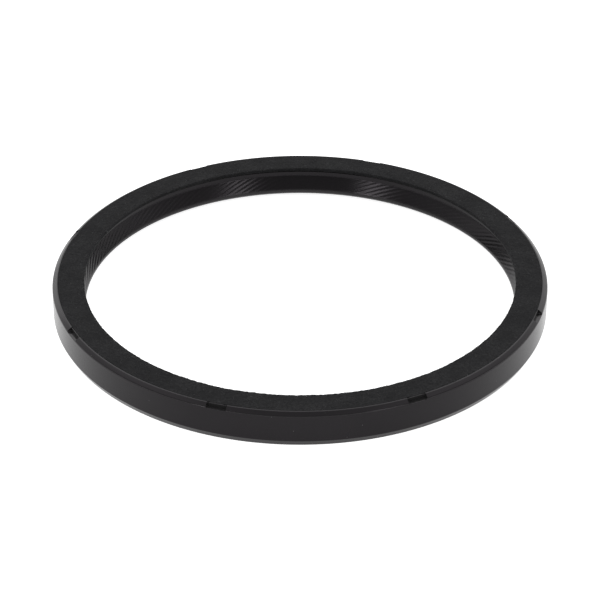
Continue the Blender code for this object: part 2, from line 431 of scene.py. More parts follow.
def new_group(name, inputs, outputs):
    """A shader node group with named sockets: inputs are (name, default) and outputs are names."""
    group = bpy.data.node_groups.new(name, "ShaderNodeTree")
    for label, default in inputs:
        socket = group.interface.new_socket(
            name=label, in_out="INPUT", socket_type="NodeSocketFloat"
        )
        socket.default_value = default
    for label in outputs:
        group.interface.new_socket(name=label, in_out="OUTPUT", socket_type="NodeSocketFloat")
    entry = group.nodes.new("NodeGroupInput")
    leave = group.nodes.new("NodeGroupOutput")
    entry.location.x = -900
    leave.location.x = 500
    return group, entry, leave


def add_node(tree, kind, x=0, y=0, **settings):
    node = tree.nodes.new(kind)
    node.location = (x, y)
    for key, value in settings.items():
        setattr(node, key, value)
    return node


def object_place(tree, x=-900, y=200):
    """The point's place on the piece."""
    return add_node(tree, "ShaderNodeTexCoord", x, y).outputs["Object"]


def combine(tree, operation, x, y, *values):
    """A Math node between its values, each a socket or a number."""
    node = add_node(tree, "ShaderNodeMath", x, y, operation=operation)
    for socket, value in zip(node.inputs, values):
        if isinstance(value, bpy.types.NodeSocket):
            tree.links.new(value, socket)
        else:
            socket.default_value = value
    return node.outputs[0]


def between(tree, x, y, factor, low, high, start=0.0, end=1.0, **settings):
    """A number that runs from low to high while the factor runs from start to end."""
    node = add_node(tree, "ShaderNodeMapRange", x, y, **settings)
    ends = (("From Min", start), ("From Max", end), ("To Min", low), ("To Max", high))
    for socket, value in ends:
        node.inputs[socket].default_value = value
    tree.links.new(factor, node.inputs["Value"])
    return node.outputs["Result"]


def make_grain_group():
    """Fine unevenness of a surface: a height for bumps and a slow drift for tone and gloss."""
    group, entry, leave = new_group(
        "surface_grain", [("Fineness", 3000.0), ("Patch fineness", 60.0)], ["Height", "Drift"]
    )
    place = object_place(group)
    fine = add_node(group, "ShaderNodeTexNoise", -500, 200)
    fine.inputs["Detail"].default_value = 3.0
    patches = add_node(group, "ShaderNodeTexNoise", -500, -100)
    patches.inputs["Detail"].default_value = 2.0
    for texture, socket in ((fine, "Fineness"), (patches, "Patch fineness")):
        group.links.new(place, texture.inputs["Vector"])
        group.links.new(entry.outputs[socket], texture.inputs["Scale"])
    drift = between(group, -200, -100, patches.outputs["Fac"], 0.0, 1.0, 0.35, 0.65)
    group.links.new(fine.outputs["Fac"], leave.inputs["Height"])
    group.links.new(drift, leave.inputs["Drift"])
    return group


def make_speck_group():
    """A mask of scattered round specks: how many a metre holds, their size and their share."""
    group, entry, leave = new_group(
        "specks", [("Fineness", 300.0), ("Size", 0.1), ("Share", 0.2)], ["Mask"]
    )
    cells = add_node(group, "ShaderNodeTexVoronoi", -500, 100)
    group.links.new(object_place(group), cells.inputs["Vector"])
    group.links.new(entry.outputs["Fineness"], cells.inputs["Scale"])
    draw = add_node(group, "ShaderNodeSeparateColor", -350, -50)
    group.links.new(cells.outputs["Color"], draw.inputs["Color"])
    near = combine(group, "LESS_THAN", -200, 200, cells.outputs["Distance"], entry.outputs["Size"])
    picked = combine(group, "LESS_THAN", -200, -50, draw.outputs["Red"], entry.outputs["Share"])
    group.links.new(combine(group, "MULTIPLY", 100, 100, near, picked), leave.inputs["Mask"])
    return group


def place_group(tree, x, y, name, make, **values):
    """Places a shared effect, made when it is first asked for, and returns its outputs."""
    group = bpy.data.node_groups.get(name) or make()
    node = add_node(tree, "ShaderNodeGroup", x, y, node_tree=group)
    for key, value in values.items():
        node.inputs[key.replace("_", " ").capitalize()].default_value = value
    return node.outputs


def place_grain(tree, x, y, fineness, patches):
    """The shared grain's outputs, Height and Drift."""
    return place_group(
        tree, x, y, "surface_grain", make_grain_group, fineness=fineness, patch_fineness=patches
    )


def place_specks(tree, x, y, fineness, size, share):
    """The shared specks' mask."""
    outputs = place_group(
        tree, x, y, "specks", make_speck_group, fineness=fineness, size=size, share=share
    )
    return outputs["Mask"]


def mix_colours(tree, x, y, factor, first, second):
    """A colour node between two colours, each a socket or plain values."""
    node = add_node(tree, "ShaderNodeMix", x, y, data_type="RGBA")
    tree.links.new(factor, node.inputs["Factor"])
    for socket, colour in ((node.inputs["A"], first), (node.inputs["B"], second)):
        if isinstance(colour, bpy.types.NodeSocket):
            tree.links.new(colour, socket)
        else:
            socket.default_value = (*colour, 1.0)
    return node.outputs["Result"]


def bump(tree, x, y, height, distance, strength, below=None):
    node = add_node(tree, "ShaderNodeBump", x, y)
    node.inputs["Distance"].default_value = distance
    node.inputs["Strength"].default_value = strength
    tree.links.new(height, node.inputs["Height"])
    if below is not None:
        tree.links.new(below, node.inputs["Normal"])
    return node.outputs["Normal"]


def new_material(name):
    material = bpy.data.materials.new(name)
    material.use_nodes = True
    return material, material.node_tree, material.node_tree.nodes["Principled BSDF"]


# Materials


def rubber_material():
    """Moulded black rubber with a low sheen, faint greyer patches, faces paled by painted light,
    and some dust.
    """
    colours = bpy.context.scene.seal_colours
    material, tree, shader = new_material("moulded_rubber")
    link = tree.links.new
    grain = place_grain(tree, -900, 0, 2600.0, 45.0)
    specks = between(tree, -500, -200, place_specks(tree, -900, -300, 430.0, 0.048, 0.34), 0.0, 0.6)
    tone = mix_colours(tree, -600, 100, grain["Drift"], colours.rubber, colours.rubber_bloom)
    dusty = mix_colours(tree, -350, 100, specks, tone, colours.dust_and_painted_light)
    # Painted light: notch faces and the painted highlight on the sealing edge are mixed towards the
    # pale colour
    paled = add_node(tree, "ShaderNodeAttribute", -350, 400, attribute_name=PALED)
    colour = mix_colours(tree, -150, 100, paled.outputs["Fac"], dusty, colours.dust_and_painted_light)
    link(colour, shader.inputs["Base Color"])
    link(between(tree, -350, -150, grain["Drift"], 0.17, 0.23), shader.inputs["Roughness"])
    link(bump(tree, -350, -400, grain["Height"], 0.00002, 0.2), shader.inputs["Normal"])
    shader.inputs["IOR"].default_value = 1.5
    shader.inputs["Specular IOR Level"].default_value = 0.175
    shader.inputs["Specular Tint"].default_value = (1.0, 0.93, 1.0, 1.0)
    return material


def felt_material(name, bump_distance):
    """Needled felt: dark ground, lighter fibres lying every way, pale lint, dark flecks and painted
    shade down its sides.
    """
    colours = bpy.context.scene.seal_colours
    material, tree, shader = new_material(name)
    link = tree.links.new
    matted = place_grain(tree, -900, 100, 2300.0, 420.0)
    clouds = place_grain(tree, -900, -150, 900.0, 140.0)
    strands = between(tree, -650, 200, matted["Height"], -1.1, 2.1)
    ground = mix_colours(tree, -450, 200, strands, colours.felt, colours.felt_fibre)
    shade = between(tree, -450, -50, clouds["Drift"], 0.0, 0.7)
    shaded = mix_colours(tree, -250, 200, shade, ground, colours.felt)
    lint = between(tree, -250, -350, place_specks(tree, -900, -400, 610.0, 0.10, 0.06), 0.0, 0.45)
    dusty = mix_colours(tree, -50, 200, lint, shaded, colours.dust_and_painted_light)
    flecks = between(tree, -250, -600, place_specks(tree, -900, -650, 470.0, 0.12, 0.14), 0.0, 0.6)
    # Painted shade: the felt is darkened from just under its top down towards its seat
    split = add_node(tree, "ShaderNodeSeparateXYZ", -650, 500)
    link(object_place(tree, -850, 500), split.inputs[0])
    painted_side_shade = between(
        tree, -450, 500, split.outputs["Z"], 0.6, 0.0, HEIGHT - 0.0010, HEIGHT - 0.0002
    )
    dark = combine(tree, "MAXIMUM", -50, 500, painted_side_shade, flecks)
    low = tuple(value * 0.3 for value in colours.felt)
    link(mix_colours(tree, 150, 300, dark, dusty, low), shader.inputs["Base Color"])
    fine = bump(tree, -450, -500, matted["Height"], bump_distance, 0.8)
    coarse = bump(tree, -250, -600, clouds["Height"], bump_distance * 2, 0.8, fine)
    link(coarse, shader.inputs["Normal"])
    shader.inputs["Roughness"].default_value = 0.95
    shader.inputs["Specular IOR Level"].default_value = 0.065
    shader.inputs["Sheen Weight"].default_value = 0.05
    shader.inputs["Sheen Roughness"].default_value = 0.5
    return material


def fibre_material():
    """Single strands of the felt, some paler than others."""
    colours = bpy.context.scene.seal_colours
    material, tree, shader = new_material("felt_strands")
    drift = place_grain(tree, -700, 0, 900.0, 700.0)["Drift"]
    colour = mix_colours(tree, -400, 100, drift, colours.felt, colours.strand)
    tree.links.new(colour, shader.inputs["Base Color"])
    shader.inputs["Roughness"].default_value = 0.7
    shader.inputs["Specular IOR Level"].default_value = 0.3
    return material


def steel_material(name, dark, light, rough, fineness):
    """Bare or phosphated steel, with tone and gloss that drift a little."""
    material, tree, shader = new_material(name)
    link = tree.links.new
    grain = place_grain(tree, -700, 0, fineness, 120.0)
    link(mix_colours(tree, -400, 100, grain["Drift"], dark, light), shader.inputs["Base Color"])
    gloss = between(tree, -400, -150, grain["Height"], rough - 0.1, rough + 0.1)
    link(gloss, shader.inputs["Roughness"])
    link(bump(tree, -400, -400, grain["Height"], 0.00002, 0.3), shader.inputs["Normal"])
    shader.inputs["Metallic"].default_value = 1.0
    return material


# Rubber body: the lip's air side, which the body and its ribs share, comes first

LIP_RADIUS = SHAFT_RADIUS - 0.0007
LIP_HEIGHT = 0.0026
LIP_ROOT_RADIUS = SHAFT_RADIUS + 0.0024
LIP_ROOT_HEIGHT = FELT_SEAT - 0.0024
LIP_WALL = 0.0013
CONE_SLOPE = math.atan2(LIP_ROOT_RADIUS - LIP_RADIUS, LIP_ROOT_HEIGHT - LIP_HEIGHT)
CONE_LENGTH = math.hypot(LIP_ROOT_RADIUS - LIP_RADIUS, LIP_ROOT_HEIGHT - LIP_HEIGHT)
OIL_SIDE_SLOPE = math.radians(50)
SEALING_EDGE_ROUNDING = 0.00095
GROOVE_RADIUS = 0.00115
GROOVE_MOUTH = (62, 305)  # degrees at which the spring groove starts and ends
GROOVE_STEP = 22
RIB_LAND = 0.0010
RIB_TOP_MARGIN = 0.0009
RIB_RAMP = 0.00035
RIB_ROWS = 8
RIB_TWIST_STEPS = 20  # round steps by which a rib turns on its way up
RIB_RELIEF = (0.0, 0.25, 0.75, 1.0, 0.75, 0.25)


def cone_point(distance, offset=0.0):
    """The (radius, height) this far up the lip's air side, moved off it into the rubber."""
    radius = LIP_RADIUS + distance * math.sin(CONE_SLOPE) + offset * math.cos(CONE_SLOPE)
    height = LIP_HEIGHT + distance * math.cos(CONE_SLOPE) - offset * math.sin(CONE_SLOPE)
    return radius, height


def groove_point(centre_radius, centre_height, degrees):
    angle = math.radians(degrees)
    return (
        centre_radius + GROOVE_RADIUS * math.cos(angle),
        centre_height + GROOVE_RADIUS * math.sin(angle),
    )


def body_corners(rounding):
    """Corners of the rubber's half section, from the ribs' top over the jacket to their foot."""
    rim_radius = RECESS_RADIUS + RIM_WIDTH
    bore_radius = LIP_ROOT_RADIUS + 0.0005
    web_radius = bore_radius + 0.0011
    web_reach = web_radius + 0.0017
    flange_top = FELT_SEAT - 0.0008
    flange_bottom = flange_top - 0.0010
    web_bottom = flange_bottom - 0.0008
    foot_radius = OUTER_RADIUS - 0.0029
    foot_top = 0.0015
    pocket_radius = OUTER_RADIUS - 0.0012
    coil_radius = LIP_RADIUS + 0.00292
    coil_height = LIP_HEIGHT + 0.0003
    head_top = coil_height + 0.0016
    nose_drop = 0.0013
    nose_height = LIP_HEIGHT - nose_drop
    flex_root_radius, _ = cone_point(CONE_LENGTH, LIP_WALL)
    head_rise = head_top - LIP_HEIGHT + LIP_WALL * math.sin(CONE_SLOPE)
    flex_foot = cone_point(head_rise / math.cos(CONE_SLOPE), LIP_WALL)
    collar_radius, collar_foot = cone_point(CONE_LENGTH - 0.00055)
    air_side = [
        (*cone_point(CONE_LENGTH - RIB_TOP_MARGIN), 0),
        (collar_radius, collar_foot, 0.0003),
        (collar_radius, LIP_ROOT_HEIGHT + 0.00085, 0.00015),
        (bore_radius, LIP_ROOT_HEIGHT + 0.0010, 0.0001),
        (bore_radius, FELT_SEAT, 0),
        (RECESS_RADIUS, FELT_SEAT, 0),
    ]
    jacket = [
        (RECESS_RADIUS, HEIGHT, rounding),
        (rim_radius, HEIGHT, rounding * 2.2),
        (OUTER_RADIUS, HEIGHT - RIM_CHAMFER, rounding * 3.2),
        (OUTER_RADIUS, 0.0021, rounding),
        (OUTER_RADIUS - 0.0011, 0, rounding),
        (foot_radius, 0, rounding),
        (foot_radius, foot_top, 0),
    ]
    pocket = [
        (pocket_radius, foot_top, 0),
        (pocket_radius, flange_top - 0.0006, 0),
        (pocket_radius - 0.0003, flange_top, 0),
        (web_radius, flange_top, 0),
        (web_radius, flange_bottom, 0),
        (web_reach, flange_bottom, 0),
    ]
    flex = [
        (web_reach, web_bottom, 0.0004),
        (flex_root_radius, web_bottom, 0.0006),
        (*flex_foot, 0.0004),
    ]
    mouth_top, mouth_low = (groove_point(coil_radius, coil_height, turn) for turn in GROOVE_MOUTH)
    head = [(mouth_top[0] + 0.0003, head_top, 0.0002)]
    for turn in range(*GROOVE_MOUTH, GROOVE_STEP):
        head.append((*groove_point(coil_radius, coil_height, turn), 0))
    head += [
        (*mouth_low, 0),
        (mouth_low[0] + 0.0003, mouth_low[1] - 0.00015, 0.0001),
        (mouth_low[0] + 0.00015, nose_height, 0.0001),
        (LIP_RADIUS + nose_drop * math.tan(OIL_SIDE_SLOPE), nose_height, 0.0001),
        (LIP_RADIUS, LIP_HEIGHT, SEALING_EDGE_ROUNDING),
        (*cone_point(RIB_LAND), 0),
    ]
    return air_side + jacket + pocket + flex + head


def make_rib_band(rib_height):
    """One pitch of the ribbed cone, extruded row by row up the helix and copied round the axis."""
    ribbed_length = CONE_LENGTH - RIB_LAND - RIB_TOP_MARGIN
    inner_rows = RIB_ROWS - 2
    inner_length = ribbed_length - 2 * RIB_RAMP
    distances = [0.0]
    distances += [RIB_RAMP + inner_length * row / inner_rows for row in range(inner_rows + 1)]
    distances += [ribbed_length]
    radius, height = cone_point(RIB_LAND)
    rib = start_line("pumping_ribs", radius, height)
    start = Vector((radius, 0, 0))
    for column in range(RIB_COLUMNS):
        here, there = (
            Matrix.Rotation(STEP_TURN * turn, 3, "Z") @ start for turn in (column, column + 1)
        )
        extrude_to(there - here)
    bpy.ops.mesh.select_all(action="SELECT")
    twist = RIB_TWIST_STEPS * STEP_TURN
    for before, after in zip(distances, distances[1:]):
        old_radius, old_height = cone_point(RIB_LAND + before)
        new_radius, new_height = cone_point(RIB_LAND + after)
        growth = new_radius / old_radius
        rise = (0, 0, new_height - old_height)
        bpy.ops.mesh.extrude_edges_move(TRANSFORM_OT_translate={"value": rise})
        bpy.ops.transform.resize(value=(growth, growth, 1), center_override=(0, 0, 0))
        turn_selected(twist * (after - before) / ribbed_length)
    leave_edit()
    raise_ribs(rib, distances, ribbed_length, rib_height)
    repeat_and_join(rib, RIB_COUNT, SAME_POINT)
    return rib


def raise_ribs(rib, distances, ribbed_length, rib_height):
    """Lifts the middle columns of every inner row off the cone, towards the shaft."""
    for point in rib.data.vertices:
        distance = (point.co.z - LIP_HEIGHT) / math.cos(CONE_SLOPE) - RIB_LAND
        if distance < distances[1] / 2 or distance > (distances[-2] + ribbed_length) / 2:
            continue
        twist = RIB_TWIST_STEPS * STEP_TURN * distance / ribbed_length
        turned = math.atan2(point.co.y, point.co.x) + twist
        column = round(turned / STEP_TURN) % RIB_COLUMNS
        lift = rib_height * RIB_RELIEF[column]
        radius = math.hypot(point.co.x, point.co.y)
        point.co.x *= (radius - lift) / radius
        point.co.y *= (radius - lift) / radius


def make_notch_cutter(width, depth):
    """Eight rounded blocks that step down from the rim and leave a thin wall along the felt."""
    wall = RECESS_RADIUS + 0.00022
    wall_top = HEIGHT - 0.00015
    felt_side = RECESS_RADIUS - 0.00002
    floor = HEIGHT - depth
    above = HEIGHT + 0.001
    outside = OUTER_RADIUS + 0.001
    corners = [(wall, floor), (outside, floor), (outside, above)]
    corners += [(felt_side, above), (felt_side, wall_top), (wall, wall_top)]
    cutter = draw_section("notch_cutter", [(radius, height, 0) for radius, height in corners])
    edit(cutter, action="SELECT")
    bpy.ops.transform.translate(value=(0, -width / 2, 0))
    bpy.ops.mesh.edge_face_add()
    bpy.ops.mesh.extrude_region_move(TRANSFORM_OT_translate={"value": (0, width, 0)})
    leave_edit()
    for side in (-1, 1):
        edit(cutter, "EDGE")
        leave_edit()
        for edge in cutter.data.edges:
            ends = [cutter.data.vertices[i].co for i in edge.vertices]
            edge.select = all(end.z < floor + 0.0001 and end.y * side > width / 4 for end in ends)
        edit_selected_edges(cutter)
        bpy.ops.mesh.bevel(offset=0.00025, segments=3, affect="EDGES")
        leave_edit()
    edit(cutter, action="SELECT")
    bpy.ops.mesh.normals_make_consistent(inside=False)
    turn_selected(-FIRST_NOTCH)
    leave_edit()
    repeat_round(cutter, NOTCH_COUNT)
    return cutter


def mark_paled_faces(body, depth):
    """Marks the walls and floors of the notches with painted light, and the sealing edge with a
    painted highlight that fades away from it.
    """
    mark = body.data.attributes.new(PALED, "FLOAT", "FACE")
    rim_radius = RECESS_RADIUS + RIM_WIDTH
    slope = (OUTER_RADIUS - rim_radius) / RIM_CHAMFER
    for face in body.data.polygons:
        radius = math.hypot(face.center.x, face.center.y)
        below = HEIGHT - face.center.z
        skin = min(rim_radius + below * slope, OUTER_RADIUS) - 0.00005
        in_notch = RECESS_RADIUS + 0.0001 < radius < skin and 0.00005 < below < depth + 0.0001
        from_edge = math.hypot(radius - LIP_RADIUS, face.center.z - LIP_HEIGHT)
        edge_highlight = min(max((HIGHLIGHT_REACH - from_edge) / HIGHLIGHT_FADE, 0.0), 1.0)
        # Painted light: notch faces are paled evenly, and the sealing edge gets a painted highlight
        mark.data[face.index].value = NOTCH_PAINTED_LIGHT if in_notch else EDGE_PAINTED_HIGHLIGHT * edge_highlight


class SEAL_OT_rubber_body(bpy.types.Operator):
    """Model the moulded rubber body with its ribbed lip and notched rim"""

    bl_idname = "seal.rubber_body"
    bl_label = "Rubber body"

    def execute(self, context):
        sizes = context.scene.seal_sizes
        body = draw_section("moulded_body", body_corners(sizes.edge_rounding), closed=False)
        spin_section(body, ROUND_STEPS)
        ribs = make_rib_band(sizes.rib_height)
        make_active(body)
        ribs.select_set(True)
        bpy.ops.object.join()
        edit(body, action="SELECT")
        bpy.ops.mesh.remove_doubles(threshold=SAME_POINT)
        bpy.ops.mesh.normals_make_consistent(inside=False)
        leave_edit()
        check_closed(body)
        cutter = make_notch_cutter(sizes.notch_width, sizes.notch_depth)
        add_modifier(body, "BOOLEAN", operation="DIFFERENCE", solver="EXACT", object=cutter)
        apply_modifiers(body)
        remove_object(cutter)
        make_active(body)
        bpy.ops.object.shade_smooth_by_angle(angle=math.radians(32))
        add_modifier(body, "WEIGHTED_NORMAL", mode="FACE_AREA", weight=50, keep_sharp=True)
        apply_modifiers(body)
        mark_paled_faces(body, sizes.notch_depth)
        seat_piece(body, "rubber", rubber_material(), "rubber_body")
        return {"FINISHED"}


# Felt ring and its loose strands


def uneven_felt(felt, unevenness):
    """Raises and lowers the felt's top and frays its inner edge, and leaves its seat flat."""
    free = felt.vertex_groups.new(name="free_surface")
    for point in felt.data.vertices:
        radius = math.hypot(point.co.x, point.co.y)
        inner_side = radius < FELT_INNER_RADIUS + 0.0006
        if inner_side and point.co.z > FELT_SEAT + 0.0001:
            free.add([point.index], 1.0, "REPLACE")
        elif point.co.z > HEIGHT - 0.0002 and radius < RECESS_RADIUS - 0.0005:
            free.add([point.index], 0.45, "REPLACE")
    for name, grain, share in (("felt_tufts", 0.0009, 0.9), ("felt_swells", 0.0040, 0.5)):
        texture = bpy.data.textures.new(name, "CLOUDS")
        texture.noise_scale = grain
        texture.noise_depth = 2
        add_modifier(
            felt,
            "DISPLACE",
            texture=texture,
            texture_coords="LOCAL",
            mid_level=0.62,
            strength=unevenness * share,
            vertex_group=free.name,
        )
    apply_modifiers(felt)


def make_fibre(name, thickness, length, curl, rise):
    """One loose strand along X: a thin tube that curls sideways and arches out of the felt."""
    segments = 5
    deselect_everything()
    bpy.ops.mesh.primitive_circle_add(
        vertices=3,
        radius=thickness / 2,
        fill_type="NGON",
        location=(-length / 2, 0, -thickness),
        rotation=(0, math.pi / 2, 0),
    )
    fibre = bpy.context.object
    fibre.name = name
    bpy.ops.object.transform_apply(location=True, rotation=True, scale=True)
    edit(fibre, "FACE", "SELECT")
    step = length / segments
    for segment in range(segments):
        middle = (segment + 0.5) / segments * 2 - 1
        heading = curl * middle
        climb = -rise * middle
        level = math.cos(climb)
        way = Vector((math.cos(heading) * level, math.sin(heading) * level, math.sin(climb)))
        bpy.ops.mesh.extrude_region_move(TRANSFORM_OT_translate={"value": way * step})
    bpy.ops.mesh.select_all(action="SELECT")
    bpy.ops.mesh.normals_make_consistent(inside=False)
    leave_edit()
    bpy.ops.object.shade_smooth()
    return fibre


def random_number(group, x, y, low, high, seed):
    """A number for each point between low and high, drawn by the point's number."""
    node = add_node(group, "FunctionNodeRandomValue", x, y, data_type="FLOAT")
    node.inputs[2].default_value = low
    node.inputs[3].default_value = high
    node.inputs["Seed"].default_value = seed
    return node.outputs[1]


def fibre_scatter(count, strands):
    """Nodes that drop strands on the felt at random places, thicker along its inner edge.

    Each place is drawn by the strand's number and not by the felt's faces, whose order changes
    from run to run, so every run lays the same strands.
    """
    group = bpy.data.node_groups.new("fibre_scatter", "GeometryNodeTree")
    for side in ("INPUT", "OUTPUT"):
        group.interface.new_socket(name="Geometry", in_out=side, socket_type="NodeSocketGeometry")
    link = group.links.new
    entry = add_node(group, "NodeGroupInput", -500, 300)
    leave = add_node(group, "NodeGroupOutput", 1100, 0)
    turn = random_number(group, -1500, -200, 0.0, math.tau, TURN_SEED)
    share = random_number(group, -1500, -450, 0.0, 1.0, REACH_SEED)
    crowd = combine(group, "POWER", -1300, -450, share, 1.35)
    reach = between(group, -1100, -450, crowd, FRAYED_RADIUS + 0.0003, RECESS_RADIUS - 0.0007)
    above = add_node(group, "ShaderNodeCombineXYZ", -700, -200)
    above.inputs["Z"].default_value = HEIGHT + 0.002
    for axis, operation in (("X", "COSINE"), ("Y", "SINE")):
        part = combine(group, operation, -1100, -200, turn)
        link(combine(group, "MULTIPLY", -900, -200, part, reach), above.inputs[axis])
    points = add_node(group, "GeometryNodePoints", -500, 0)
    points.inputs["Count"].default_value = count
    link(above.outputs[0], points.inputs["Position"])
    drop = add_node(group, "GeometryNodeRaycast", -300, 300)
    drop.inputs["Ray Direction"].default_value = (0, 0, -1)
    drop.inputs["Ray Length"].default_value = 0.004
    link(entry.outputs[0], drop.inputs["Target Geometry"])
    landed = add_node(group, "GeometryNodeSetPosition", -50, 0)
    link(points.outputs[0], landed.inputs["Geometry"])
    link(drop.outputs["Is Hit"], landed.inputs["Selection"])
    link(drop.outputs["Hit Position"], landed.inputs["Position"])
    split = add_node(group, "ShaderNodeSeparateXYZ", -50, -300)
    link(add_node(group, "GeometryNodeInputPosition", -250, -300).outputs[0], split.inputs[0])
    on_felt = combine(group, "COMPARE", 150, -300, split.outputs["Z"], HEIGHT, 0.0006)
    turns = add_node(group, "FunctionNodeRandomValue", -50, -550, data_type="FLOAT_VECTOR")
    turns.inputs[0].default_value = (-0.14, -0.14, 0)
    turns.inputs[1].default_value = (0.14, 0.14, math.tau)
    turns.inputs["Seed"].default_value = TILT_SEED
    as_turn = add_node(group, "FunctionNodeEulerToRotation", 150, -550)
    link(turns.outputs[0], as_turn.inputs[0])
    stock = add_node(group, "GeometryNodeCollectionInfo", 150, 300)
    stock.inputs["Collection"].default_value = strands
    stock.inputs["Separate Children"].default_value = True
    laid = add_node(group, "GeometryNodeInstanceOnPoints", 500, 0)
    laid.inputs["Pick Instance"].default_value = True
    link(landed.outputs[0], laid.inputs["Points"])
    link(on_felt, laid.inputs["Selection"])
    link(stock.outputs[0], laid.inputs["Instance"])
    link(as_turn.outputs[0], laid.inputs["Rotation"])
    link(random_number(group, 150, -750, 0.6, 1.25, SIZE_SEED), laid.inputs["Scale"])
    real = add_node(group, "GeometryNodeRealizeInstances", 750, 0)
    link(laid.outputs[0], real.inputs[0])
    link(real.outputs[0], leave.inputs[0])
    return group


class SEAL_OT_felt_ring(bpy.types.Operator):
    """Model the felt ring with its uneven face and frayed inner edge"""

    bl_idname = "seal.felt_ring"
    bl_label = "Felt ring"

    def execute(self, context):
        sizes = context.scene.seal_sizes
        outer = RECESS_RADIUS - 0.00004
        corners = [(FELT_INNER_RADIUS, FELT_SEAT, 0)]
        for row in range(1, 4):
            corners.append((FRAYED_RADIUS, FELT_SEAT + (HEIGHT - FELT_SEAT) * row / 4, 0))
        corners += [(FRAYED_RADIUS, HEIGHT, 0.00022)]
        for column in range(1, FELT_COLUMNS):
            radius = FRAYED_RADIUS + (outer - FRAYED_RADIUS) * column / FELT_COLUMNS
            corners.append((radius, HEIGHT, 0))
        corners += [(outer, HEIGHT, 0.00018), (outer, FELT_SEAT, 0)]
        felt = draw_section("felt_ring", corners)
        spin_section(felt, FELT_STEPS)
        face_outwards(felt)
        uneven_felt(felt, sizes.felt_unevenness)
        make_active(felt)
        bpy.ops.object.shade_smooth()
        seat_piece(felt, "felt", felt_material("needled_felt", 0.00008), "felt_dust_lip")
        return {"FINISHED"}


class SEAL_OT_felt_fibres(bpy.types.Operator):
    """Lay loose strands on the felt and along its frayed inner edge"""

    bl_idname = "seal.felt_fibres"
    bl_label = "Felt fibres"

    def execute(self, context):
        sizes = context.scene.seal_sizes
        felt = bpy.data.objects.get("felt_ring")
        if felt is None:
            raise RuntimeError("the felt ring is made before its fibres")
        strands = bpy.data.collections.new("strands")
        context.scene.collection.children.link(strands)
        models = []
        for number, (length, curl, rise) in enumerate(STRAND_SHAPES):
            model = make_fibre(f"strand_{number}", sizes.fibre_thickness, length, curl, rise)
            for home in list(model.users_collection):
                home.objects.unlink(model)
            strands.objects.link(model)
            models.append(model)
        make_active(felt)
        bpy.ops.object.duplicate()
        fibres = context.object
        fibres.name = "felt_fibres"
        fibres.data.name = "felt_fibres"
        add_modifier(fibres, "NODES", node_group=fibre_scatter(sizes.fibre_count, strands))
        apply_modifiers(fibres)
        for model in models:
            bpy.data.objects.remove(model)
        bpy.data.collections.remove(strands)
        if not fibres.data.polygons:
            raise RuntimeError("no fibres were laid on the felt")
        seat_piece(fibres, "felt", fibre_material(), "felt_dust_lip")
        return {"FINISHED"}


# Pressed case and garter spring


class SEAL_OT_pressed_case(bpy.types.Operator):
    """Give the pressed case its phosphated finish"""

    bl_idname = "seal.pressed_case"
    bl_label = "Pressed case"

    def execute(self, context):
        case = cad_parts["steel_case"]
        case.data.materials.clear()
        dark, light = (0.055, 0.056, 0.058), (0.085, 0.086, 0.088)
        steel = steel_material("phosphated_steel", dark, light, 0.55, 1800.0)
        case.data.materials.append(steel)
        return {"FINISHED"}


class SEAL_OT_garter_spring(bpy.types.Operator):
    """Wind the garter spring and close it into a ring behind the lip"""

    bl_idname = "seal.garter_spring"
    bl_label = "Garter spring"

    def execute(self, context):
        sizes = context.scene.seal_sizes
        low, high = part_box("garter_spring")
        centre_height = (low.z + high.z) / 2
        coil_radius = (high.z - low.z) / 2
        ring_radius = high.x - coil_radius
        pitch_angle = math.tau / sizes.spring_turns
        centre = (ring_radius, 0, centre_height)
        deselect_everything()
        bpy.ops.mesh.primitive_circle_add(
            vertices=SPRING_WIRE_SIDES,
            radius=sizes.spring_wire / 2,
            location=(ring_radius + coil_radius - sizes.spring_wire / 2, 0, centre_height),
        )
        spring = context.object
        spring.name = "wound_spring"
        spring.data.name = "wound_spring"
        bpy.ops.object.transform_apply(location=True, rotation=True, scale=True)
        edit(spring, action="SELECT")
        along = ring_radius * math.sin(pitch_angle) / SPRING_STEPS
        for _ in range(SPRING_STEPS):
            bpy.ops.mesh.extrude_edges_move(TRANSFORM_OT_translate={"value": (0, along, 0)})
            turn_selected(math.tau / SPRING_STEPS, "Y", centre)
        leave_edit()
        repeat_and_join(spring, sizes.spring_turns, SPRING_JOIN)
        face_outwards(spring)
        check_closed(spring)
        make_active(spring)
        bpy.ops.object.shade_smooth()
        steel = steel_material("drawn_wire", (0.36, 0.36, 0.37), (0.50, 0.50, 0.51), 0.32, 2500.0)
        seat_piece(spring, "spring_steel", steel, "garter_spring")
        return {"FINISHED"}


# Studio


class SEAL_OT_studio(bpy.types.Operator):
    """Add the white table, the soft lamps and the camera"""

    bl_idname = "seal.studio"
    bl_label = "Studio"

    def execute(self, context):
        deselect_everything()
        bpy.ops.mesh.primitive_plane_add(size=8, location=(0, 0, 0))
        table = context.object
        table.name = "white_table"
        table.data.materials.append(table_material())
        light_world(context.scene)
        add_softbox("left_softbox", -38, 21, distance=1.2, side=0.22, watts=1.35)
        add_softbox("right_softbox", 35, 21, distance=1.2, side=0.22, watts=1.1)
        add_softbox("back_left_panel", -141, 17, distance=1.1, side=0.50, watts=0.55)
        add_softbox("back_right_panel", 141, 17, distance=1.1, side=0.50, watts=0.20)
        deselect_everything()
        bpy.ops.object.camera_add(location=CAMERA_PLACE, rotation=(CAMERA_TILT, 0, 0))
        camera = context.object
        camera.name = "photo_camera"
        camera.data.lens = CAMERA_LENS
        camera.data.sensor_width = 36
        camera.data.clip_start = 0.05
        camera.data.clip_end = 50
        context.scene.camera = camera
        context.scene.view_settings.view_transform = "Standard"
        return {"FINISHED"}


def seen_directly(tree, x, y):
    """1 for rays from the camera, also those through clear matter, and the rays' own node."""
    path = add_node(tree, "ShaderNodeLightPath", x, y)
    rays = (path.outputs["Is Camera Ray"], path.outputs["Is Transmission Ray"])
    return combine(tree, "MAXIMUM", x + 200, y, *rays), path


